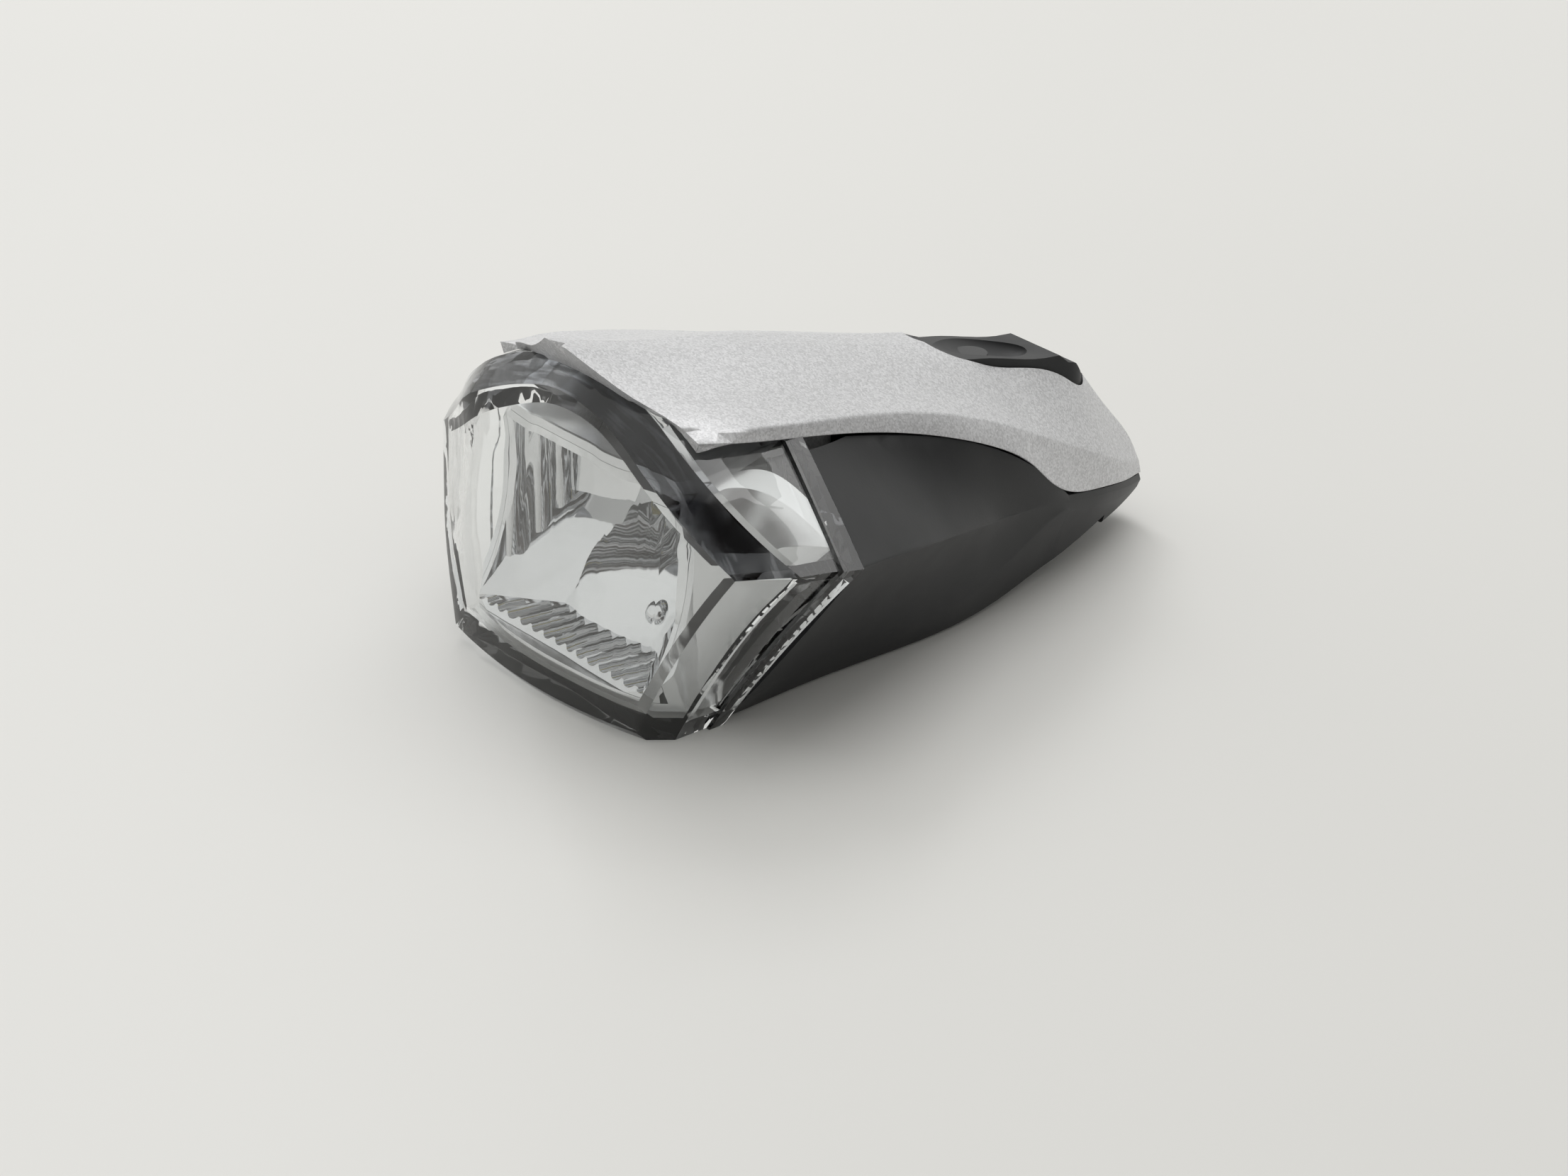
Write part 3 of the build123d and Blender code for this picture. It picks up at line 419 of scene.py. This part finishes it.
def swell(point, sizes):
    """How far the skin bulges at a point: out at the lens's shoulders, in at the waist behind them."""
    back, side = point.y - NOSE_Y, abs(point.x)
    shoulder = LOW_SHARE * ease(point.z, *LOW_HEIGHT) + CROWN_SHARE * ease(point.z, *CROWN_HEIGHT)
    shoulder *= ease(side, *SHOULDER_SIDE) * (1 - ease(back, *SHOULDER_END_BACK))
    waist = ease(side, *WAIST_SIDE) - ease(side, *WAIST_END_SIDE)
    waist *= ease(back, *WAIST_BACK) - ease(back, *WAIST_END_BACK)
    waist *= ease(point.z, *WAIST_HEIGHT)
    return sizes.shoulder * shoulder, -sizes.waist * waist


def shaped(point, sizes, shoulder_share=1.0):
    """A point of the skin moved out, forward and up by its swell, the same on both sides."""
    way = Vector((math.copysign(OUTWARD[0], point.x), OUTWARD[1], OUTWARD[2]))
    shoulder, waist = swell(point, sizes)
    return point + way * (shoulder * shoulder_share + waist)


def fine_copy(node, rounding=0.0):
    """A merged copy of a CAD node's mesh, its edges rounded, with long edges cut so that it can bend."""
    shape = bmesh.new()
    shape.from_mesh(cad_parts[node].data)
    bmesh.ops.remove_doubles(shape, verts=shape.verts, dist=WELD)
    if rounding:
        bmesh.ops.dissolve_limit(shape, angle_limit=FLAT_ANGLE, verts=shape.verts, edges=shape.edges,
                                 use_dissolve_boundaries=False)
        sharp = [edge for edge in shape.edges
                 if edge.is_convex and edge.calc_face_angle(0.0) > ROUNDED_ANGLE
                 and max(vertex.co.y for vertex in edge.verts) < NOSE_Y + ROUNDED_BACK]
        bmesh.ops.bevel(shape, geom=sharp, offset=rounding, segments=3, profile=0.5, affect="EDGES",
                        clamp_overlap=True, material=-1)
    for longest in CUT_LENGTHS:
        edges = [edge for edge in shape.edges if edge.calc_length() > longest]
        bmesh.ops.subdivide_edges(shape, edges=edges, cuts=1)
        bmesh.ops.triangulate(shape, faces=[face for face in shape.faces if len(face.verts) > 3])
    return shape


def link_mesh(name, shape):
    """Turns a bmesh into an object of that name in the scene."""
    mesh = bpy.data.meshes.new(name)
    shape.to_mesh(mesh)
    shape.free()
    piece = bpy.data.objects.new(name, mesh)
    bpy.context.scene.collection.objects.link(piece)
    return piece


def place_copy(name, shape, node, body, material):
    """Puts a shaped copy in the scene, smooth but for its edges, in the place of its CAD node."""
    for face in shape.faces:
        face.smooth = True
    for edge in shape.edges:
        edge.smooth = edge.calc_face_angle(0.0) < CREASE_ANGLE
    piece = link_mesh(name, shape)
    piece.data.materials.append(material)
    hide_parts(node)
    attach(piece, body)
    return piece


def swollen_copy(name, node, material, sizes, rounding=0.0):
    """A copy of a piece of the case with the swell of the skin, in the place of its CAD node."""
    shape = fine_copy(node, rounding)
    for vertex in shape.verts:
        vertex.co = shaped(vertex.co, sizes)
    return place_copy(name, shape, node, "case", material)


# Operators, one for each piece or group. An error in one stops the script.


class BIKELIGHT_OT_lens(bpy.types.Operator):
    """Clear lens and the dark seal behind its rim"""

    bl_idname = "bikelight.lens"
    bl_label = "Lens and seal"
    bl_options = {"REGISTER", "UNDO"}

    # Which faces get the painted shade: how far the bevels face forward and up or down, and how far back from
    # the nose they reach.
    bevel_slant = 0.3
    bevel_back = 14 * MM

    def execute(self, context):
        colours, sizes = context.scene.bike_light_colours, context.scene.bike_light_sizes
        glass, rubber = clear_polycarbonate(colours), moulded_rubber("seal_rubber", colours.seal)
        lens = swollen_copy("clear_lens", "lens", glass, sizes, sizes.lens_rounding)
        swollen_copy("seal_line", "lens_seal", rubber, sizes)
        # Edge is the painted shade of the bevels, and lines are painted over it. Over the arch they are grey
        # painted highlights. Under the sill they are as clear as the lens, between darker bands of painted
        # shade.
        edge, tint = tuple(colours.painted_bevel_shade), tuple(colours.lens_tint)
        self.paint_bevel_shade(
            lens.data,
            painted_refraction_polycarbonate("arch_painted_refraction_polycarbonate", edge, scaled(edge, 16), start=0.5, end=0.75),
            painted_refraction_polycarbonate("sill_painted_refraction_polycarbonate", scaled(edge, 4), tint, start=0.42, end=0.52))
        return {"FINISHED"}

    def paint_bevel_shade(self, mesh, arch, sill):
        """Gives the bevels over the arch and under the sill their painted shade and painted highlights."""
        mesh.materials.append(arch)
        mesh.materials.append(sill)
        for face in mesh.polygons:
            slanted = face.normal.y < -self.bevel_slant and abs(face.normal.z) > self.bevel_slant
            if slanted and face.center.y - NOSE_Y < self.bevel_back:
                face.material_index = 1 if face.normal.z > 0 else 2


class BIKELIGHT_OT_reflector(bpy.types.Operator):
    """Mirrored cup and the polished frame round its mouth"""

    bl_idname = "bikelight.reflector"
    bl_label = "Reflector and bezel"
    bl_options = {"REGISTER", "UNDO"}

    def execute(self, context):
        colours = context.scene.bike_light_colours
        dress("reflector", vacuum_chrome("reflector_chrome", colours, roughness=0.04, ripple_width=3.5 * MM))
        dress("bezel", vacuum_chrome("bezel_chrome", colours, roughness=0.2, ripple_width=20 * MM))
        return {"FINISHED"}


class BIKELIGHT_OT_cover(bpy.types.Operator):
    """Silver top cover"""

    bl_idname = "bikelight.cover"
    bl_label = "Top cover"
    bl_options = {"REGISTER", "UNDO"}

    # Where the dip of the brow ends to the sides and to the back, and the height at which the swell of the
    # shoulders ends, so that the roof keeps its form.
    brow_end_side = (8 * MM, 15 * MM)
    brow_end_back = (8 * MM, 34 * MM)
    roof_height = (32.3 * MM, 34 * MM)
    # The underside of the rim: how far its faces look down near the middle, where the notch is, and beyond
    # it, how far forward they may look, and where its seat on the lens ends.
    middle_side = 15 * MM
    down_middle = -0.8
    down_sides = -0.3
    forward = -0.4
    seat_end_back = (10 * MM, 14 * MM)
    seat_end_gap = (3 * MM, 5 * MM)

    def execute(self, context):
        colours, sizes = context.scene.bike_light_colours, context.scene.bike_light_sizes
        shape = fine_copy("top_cover")
        for vertex in shape.verts:
            back, side = vertex.co.y - NOSE_Y, abs(vertex.co.x)
            drop = (1 - ease(side, *self.brow_end_side)) * (1 - ease(back, *self.brow_end_back))
            shoulder_share = 1 - ease(vertex.co.z, *self.roof_height)
            vertex.co = shaped(vertex.co, sizes, shoulder_share) - Vector((0, 0, sizes.brow_drop * drop))
        self.seat_rim(shape, sizes.seat_gap)
        paint = silver_flake_paint(colours, sizes)
        place_copy("silver_cover", shape, "top_cover", "case", paint)
        return {"FINISHED"}

    def seat_rim(self, shape, seat_gap):
        """Thickens the front rim of the cover from inside until it rests on the arch of the lens."""
        lens = bpy.data.objects["clear_lens"].data
        arch = BVHTree.FromPolygons(
            [vertex.co for vertex in lens.vertices], [tuple(face.vertices) for face in lens.polygons])
        shape.normal_update()
        under = set()
        for face in shape.faces:
            near_middle = abs(face.calc_center_median().x) < self.middle_side
            down = self.down_middle if near_middle else self.down_sides
            if face.normal.z < down and face.normal.y > self.forward:
                under.update(face.verts)
        for vertex in under:
            spot, _, _, gap = arch.find_nearest(vertex.co)
            seated = spot + (vertex.co - spot).normalized() * min(gap, seat_gap)
            share = 1 - ease(vertex.co.y - NOSE_Y, *self.seat_end_back)
            share *= 1 - ease(gap, *self.seat_end_gap)
            vertex.co = vertex.co.lerp(seated, share)


class BIKELIGHT_OT_housing(bpy.types.Operator):
    """Black housing"""

    bl_idname = "bikelight.housing"
    bl_label = "Housing"
    bl_options = {"REGISTER", "UNDO"}

    def execute(self, context):
        colours, sizes = context.scene.bike_light_colours, context.scene.bike_light_sizes
        # ABS from a spark-eroded mould: dull black, finely pebbled.
        black = textured_plastic("textured_black_abs", colours.housing, sizes.grain)
        swollen_copy("black_housing", "housing", black, sizes)
        return {"FINISHED"}


class BIKELIGHT_OT_button(bpy.types.Operator):
    """Thumb button with what it pushes"""

    bl_idname = "bikelight.button"
    bl_label = "Button"
    bl_options = {"REGISTER", "UNDO"}

    # Where the rear peak is lowered, counted from the nose, and the height above which it is.
    peak_back = (60 * MM, 71 * MM)
    peak_end_back = (76 * MM, 84 * MM)
    cap_height = (22.5 * MM, 25 * MM)
    # The skirt over two board screws. Outside this half width and between these places from the nose, it ends
    # at least this far above them, to leave room for the button's 0.8 mm of travel.
    skirt_side = 3 * MM
    skirt_back = (59 * MM, 69 * MM)
    skirt_room = 1.0 * MM

    def execute(self, context):
        colours, sizes = context.scene.bike_light_colours, context.scene.bike_light_sizes
        shape = fine_copy("power_button")
        over_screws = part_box("board_screws")[1][2] + self.skirt_room
        for vertex in shape.verts:
            back = vertex.co.y - NOSE_Y
            if abs(vertex.co.x) > self.skirt_side and self.skirt_back[0] < back < self.skirt_back[1]:
                vertex.co.z = max(vertex.co.z, over_screws)
            peak = ease(back, *self.peak_back) - ease(back, *self.peak_end_back)
            vertex.co.z -= sizes.peak_drop * peak * ease(vertex.co.z, *self.cap_height)
        rubber = moulded_rubber("button_rubber", colours.button)
        place_copy("thumb_button", shape, "power_button", "button", rubber)
        # The plunger and the actuator are plain mouldings with the housing's grain, the second a paler nylon.
        dress("button_plunger", textured_plastic("plunger_abs", colours.housing, sizes.grain))
        dress("switch_actuator", textured_plastic("actuator_nylon", linear("3a3a3a"), sizes.grain))
        return {"FINISHED"}


class BIKELIGHT_OT_light_engine(bpy.types.Operator):
    """LED, its board, the heat sink and their screws"""

    bl_idname = "bikelight.light_engine"
    bl_label = "Light engine"
    bl_options = {"REGISTER", "UNDO"}

    def execute(self, context):
        # Zinc-plated screws are bluish grey and half bright, with turned lines round the shank.
        steel = worked_metal("zinc_plated_steel", "b9babc", 0.3, (1, 1, 6), 0.3 * MM)
        dress("led_emitter", phosphor_ceramic())
        dress("led_board", circuit_board("white_mask_board", "e6e7e4", "f4f4f1"))
        # Extruded aluminium is pale and satin, with lines along the die's run.
        dress("heat_sink", worked_metal("extruded_aluminium", "b4b6b8", 0.32, (6, 1, 6), 0.4 * MM))
        dress("led_screws", steel)
        dress("reflector_screws", steel)
        dress("led_flex", circuit_board("polyimide_flex", "8a4b12", "b87320"))
        return {"FINISHED"}


class BIKELIGHT_OT_electronics(bpy.types.Operator):
    """Main board with its parts and screws"""

    bl_idname = "bikelight.electronics"
    bl_label = "Electronics"
    bl_options = {"REGISTER", "UNDO"}

    def execute(self, context):
        # The grain of epoxy, ferrite and ceramic is finer than 0.1 mm, and is drawn coarser so that it shows.
        epoxy = textured_plastic("moulded_epoxy", linear("1a1a1b"), 0.25 * MM, (0.5, 0.65))
        board = circuit_board("green_mask_board", "0e4a2a", "1c6e40")
        dress("main_board", board)
        dress("port_board", board)
        # Nickel plate is warm grey and brighter than zinc.
        dress("board_screws", worked_metal("nickel_plated_steel", "c2beb4", 0.25, (1, 1, 6), 0.3 * MM))
        dress("driver_chip", epoxy)
        dress("tact_switch", epoxy)
        dress("inductor", textured_plastic("pressed_ferrite", linear("343536"), 0.3 * MM, (0.6, 0.75)))
        dress("capacitors", textured_plastic("fired_ceramic", linear("a98a62"), 0.2 * MM, (0.35, 0.5)))
        return {"FINISHED"}


class BIKELIGHT_OT_battery(bpy.types.Operator):
    """Cell with its foam pads and tabs"""

    bl_idname = "bikelight.battery"
    bl_label = "Battery"
    bl_options = {"REGISTER", "UNDO"}

    def execute(self, context):
        # Shrunk film is smooth and half glossy, foam is matt and dark, and nickel strip has drawn lines.
        dress("battery_cell", textured_plastic("shrink_wrap_film", linear("2f5d86"), 0.8 * MM, (0.25, 0.35)))
        dress("battery_pads", moulded_rubber("closed_cell_foam", linear("3b3c3e"), (0.8, 0.95)))
        dress("battery_tabs", worked_metal("pure_nickel_strip", "c8c4b8", 0.22, (1, 8, 1), 0.3 * MM))
        return {"FINISHED"}


class BIKELIGHT_OT_socket(bpy.types.Operator):
    """Charging socket, its flap and the cover's screws"""

    bl_idname = "bikelight.socket"
    bl_label = "Charging socket"
    bl_options = {"REGISTER", "UNDO"}

    def execute(self, context):
        colours = context.scene.bike_light_colours
        # The drawn shell is bright with lines along its depth. Blackened screws are dark and half matt.
        dress("charge_port", worked_metal("drawn_steel_shell", "bfc0c2", 0.25, (1, 1, 6), 0.25 * MM))
        dress("port_flap", moulded_rubber("flap_rubber", colours.flap))
        dress("cover_screws", worked_metal("blackened_steel", "4a4b4d", 0.35, (1, 1, 6), 0.3 * MM))
        return {"FINISHED"}


class BIKELIGHT_OT_stage(bpy.types.Operator):
    """Pale floor, soft studio light and the camera"""

    bl_idname = "bikelight.stage"
    bl_label = "Stage"
    bl_options = {"REGISTER", "UNDO"}

    # The unlit side of the room: how far it is turned from the camera, how far a direction has to face it to
    # be dark, and the height from which it is pale again.
    dark_turn = math.radians(32)
    dark_facing = (0.10, 0.35)
    pale_height = (0.60, 0.75)
    # Paler patches in it: their scale, where their noise starts them, and the share of dark that they keep.
    patch_scale = 2.6
    patch_edge = (0.58, 0.64)
    patch_dark = 0.35
    # The strength of the room as it lights the object, and as it is seen and mirrored.
    fill_strength = 0.66
    view_strength = 1.0
    # The width of the faint clouds in the floor's paper, and the camera's sensor and near limit.
    cloud_width = 140 * MM
    sensor_width = 36.0
    clip_start = 0.01

    def execute(self, context):
        colours, sizes = context.scene.bike_light_colours, context.scene.bike_light_sizes
        self.floor(colours.floor, sizes.floor_reach, CAD_BOX[0][2] - sizes.floor_gap)
        self.studio(colours, sizes.camera_azimuth)
        self.lamp("key_lamp", place=(-0.95, 0.34, 0.85), target=(0, 0, 0.01), width=0.40, power=3.5)
        self.lamp("top_lamp", place=(-0.20, 0.40, 1.02), target=(0, 0.05, 0), width=0.90, power=4.1)
        self.camera(sizes)
        context.scene.view_settings.view_transform = "Standard"
        return {"FINISHED"}

    def floor(self, colour, reach, height):
        """A plain sheet of paper under the light, with a faint cloud in its tone."""
        shape = bmesh.new()
        bmesh.ops.create_grid(shape, x_segments=1, y_segments=1, size=reach)
        bmesh.ops.translate(shape, verts=shape.verts, vec=(0, 0, height))
        piece = link_mesh("floor", shape)
        material, tree, place = new_material("pale_sweep_paper")
        cloud = add(tree, "ShaderNodeTexNoise", {"Vector": place, "Scale": 1 / self.cloud_width})
        tone = add(tree, "ShaderNodeValToRGB", {"Fac": cloud.outputs["Fac"]}, ramp=(
            scaled(colour, 0.97), scaled(colour, 1.02)))
        matt = add(tree, "ShaderNodeMapRange", {
            "Value": cloud.outputs["Fac"], "To Min": 0.42, "To Max": 0.5})
        paper = add(tree, "ShaderNodeBsdfPrincipled", {
            "Base Color": tone.outputs["Color"], "Roughness": matt.outputs["Result"]})
        add(tree, "ShaderNodeOutputMaterial", {"Surface": paper.outputs["BSDF"]})
        piece.data.materials.append(material)

    def studio(self, colours, camera_azimuth):
        """A pale room with one unlit side behind the camera, which glass and chrome mirror."""
        world = bpy.data.worlds.new("studio_room")
        bpy.context.scene.world = world
        world.use_nodes = True
        tree = world.node_tree
        tree.nodes.clear()
        sight = add(tree, "ShaderNodeTexCoord").outputs["Generated"]
        walls = self.walls(tree, sight, camera_azimuth, colours.room, colours.shade)
        # The camera, mirrors and clear plastic see the walls. All else is lit by an even fill.
        rays = add(tree, "ShaderNodeLightPath").outputs
        seen_or_mirrored = add(tree, "ShaderNodeMath", {
            0: rays["Is Camera Ray"], 1: rays["Is Glossy Ray"]}, operation="MAXIMUM")
        seen = add(tree, "ShaderNodeMath", {
            0: seen_or_mirrored.outputs["Value"], 1: rays["Is Transmission Ray"]}, operation="MAXIMUM")
        fill = add(tree, "ShaderNodeBackground", {
            "Color": tuple(colours.room), "Strength": self.fill_strength})
        view = add(tree, "ShaderNodeBackground", {
            "Color": walls.outputs["Color"], "Strength": self.view_strength})
        light = add(tree, "ShaderNodeMixShader", {
            "Fac": seen.outputs["Value"], 1: fill.outputs["Background"], 2: view.outputs["Background"]})
        add(tree, "ShaderNodeOutputWorld", {"Surface": light.outputs["Shader"]})

    def walls(self, tree, sight, camera_azimuth, pale, dark):
        """The colour of the room by direction: pale, and dark on the unlit side."""
        turn = camera_azimuth + self.dark_turn
        toward = (math.sin(turn), -math.cos(turn), 0.0)
        facing = add(tree, "ShaderNodeVectorMath", {0: sight, 1: toward}, operation="DOT_PRODUCT")
        unlit = add(tree, "ShaderNodeMapRange", {
            "Value": facing.outputs["Value"],
            "From Min": self.dark_facing[0], "From Max": self.dark_facing[1]})
        height = add(tree, "ShaderNodeSeparateXYZ", {0: sight})
        low = add(tree, "ShaderNodeMapRange", {
            "Value": height.outputs["Z"],
            "From Min": self.pale_height[0], "From Max": self.pale_height[1], "To Min": 1.0, "To Max": 0.0})
        patches = add(tree, "ShaderNodeTexNoise", {
            "Vector": sight, "Scale": self.patch_scale, "Detail": 1.0})
        solid = add(tree, "ShaderNodeMapRange", {
            "Value": patches.outputs["Fac"],
            "From Min": self.patch_edge[0], "From Max": self.patch_edge[1],
            "To Min": 1.0, "To Max": self.patch_dark})
        low_and_unlit = add(tree, "ShaderNodeMath", {
            0: unlit.outputs["Result"], 1: low.outputs["Result"]}, operation="MULTIPLY")
        share = add(tree, "ShaderNodeMath", {
            0: low_and_unlit.outputs["Value"], 1: solid.outputs["Result"]}, operation="MULTIPLY")
        return add(tree, "ShaderNodeValToRGB", {"Fac": share.outputs["Value"]}, ramp=(pale, dark))

    def lamp(self, name, place, target, width, power):
        """A square soft lamp in metres and watts that faces its target. The lens doesn't pass its image on,
        which would glare."""
        data = bpy.data.lights.new(name, "AREA")
        data.size = width
        data.energy = power
        lamp = bpy.data.objects.new(name, data)
        lamp.visible_transmission = False
        bpy.context.scene.collection.objects.link(lamp)
        lamp.location = place
        lamp.rotation_euler = (Vector(target) - Vector(place)).to_track_quat("-Z", "Y").to_euler()

    def camera(self, sizes):
        """The photograph's viewpoint, with no tilt to the side."""
        turn, rise = sizes.camera_azimuth, sizes.camera_elevation
        back = Vector((math.sin(turn) * math.cos(rise), -math.cos(turn) * math.cos(rise), math.sin(rise)))
        data = bpy.data.cameras.new("photo_camera")
        data.sensor_width = self.sensor_width
        data.lens = sizes.camera_lens
        data.clip_start = self.clip_start
        camera = bpy.data.objects.new("photo_camera", data)
        bpy.context.scene.collection.objects.link(camera)
        camera.location = Vector(sizes.camera_target) + back * sizes.camera_distance
        camera.rotation_euler = (-back).to_track_quat("-Z", "Y").to_euler()
        bpy.context.scene.camera = camera


OPERATORS = (
    BIKELIGHT_OT_stage,
    BIKELIGHT_OT_lens,
    BIKELIGHT_OT_reflector,
    BIKELIGHT_OT_cover,
    BIKELIGHT_OT_housing,
    BIKELIGHT_OT_button,
    BIKELIGHT_OT_light_engine,
    BIKELIGHT_OT_electronics,
    BIKELIGHT_OT_battery,
    BIKELIGHT_OT_socket,
)


class BIKELIGHT_PT_panel(bpy.types.Panel):
    """Lists the pieces of the bike light"""

    bl_label = "Bike light"
    bl_space_type = "VIEW_3D"
    bl_region_type = "UI"
    bl_category = "Bike light"

    def draw(self, context):
        for operator in OPERATORS:
            self.layout.operator(operator.bl_idname)
        for group in (context.scene.bike_light_colours, context.scene.bike_light_sizes):
            for name in group.__annotations__:
                self.layout.prop(group, name)


CLASSES = (BikeLightColours, BikeLightSizes, *OPERATORS, BIKELIGHT_PT_panel)


def register():
    """Registers the classes, and keeps the colours and sizes on the scene."""
    for kind in CLASSES:
        bpy.utils.register_class(kind)
    bpy.types.Scene.bike_light_colours = bpy.props.PointerProperty(type=BikeLightColours)
    bpy.types.Scene.bike_light_sizes = bpy.props.PointerProperty(type=BikeLightSizes)


def unregister():
    """Takes away what register added."""
    del bpy.types.Scene.bike_light_sizes
    del bpy.types.Scene.bike_light_colours
    for kind in reversed(CLASSES):
        bpy.utils.unregister_class(kind)


def main():
    """Calls the operators in order."""
    register()
    for operator in OPERATORS:
        group, name = operator.bl_idname.split(".")
        getattr(getattr(bpy.ops, group), name)()


if __name__ == "__main__":
    main()
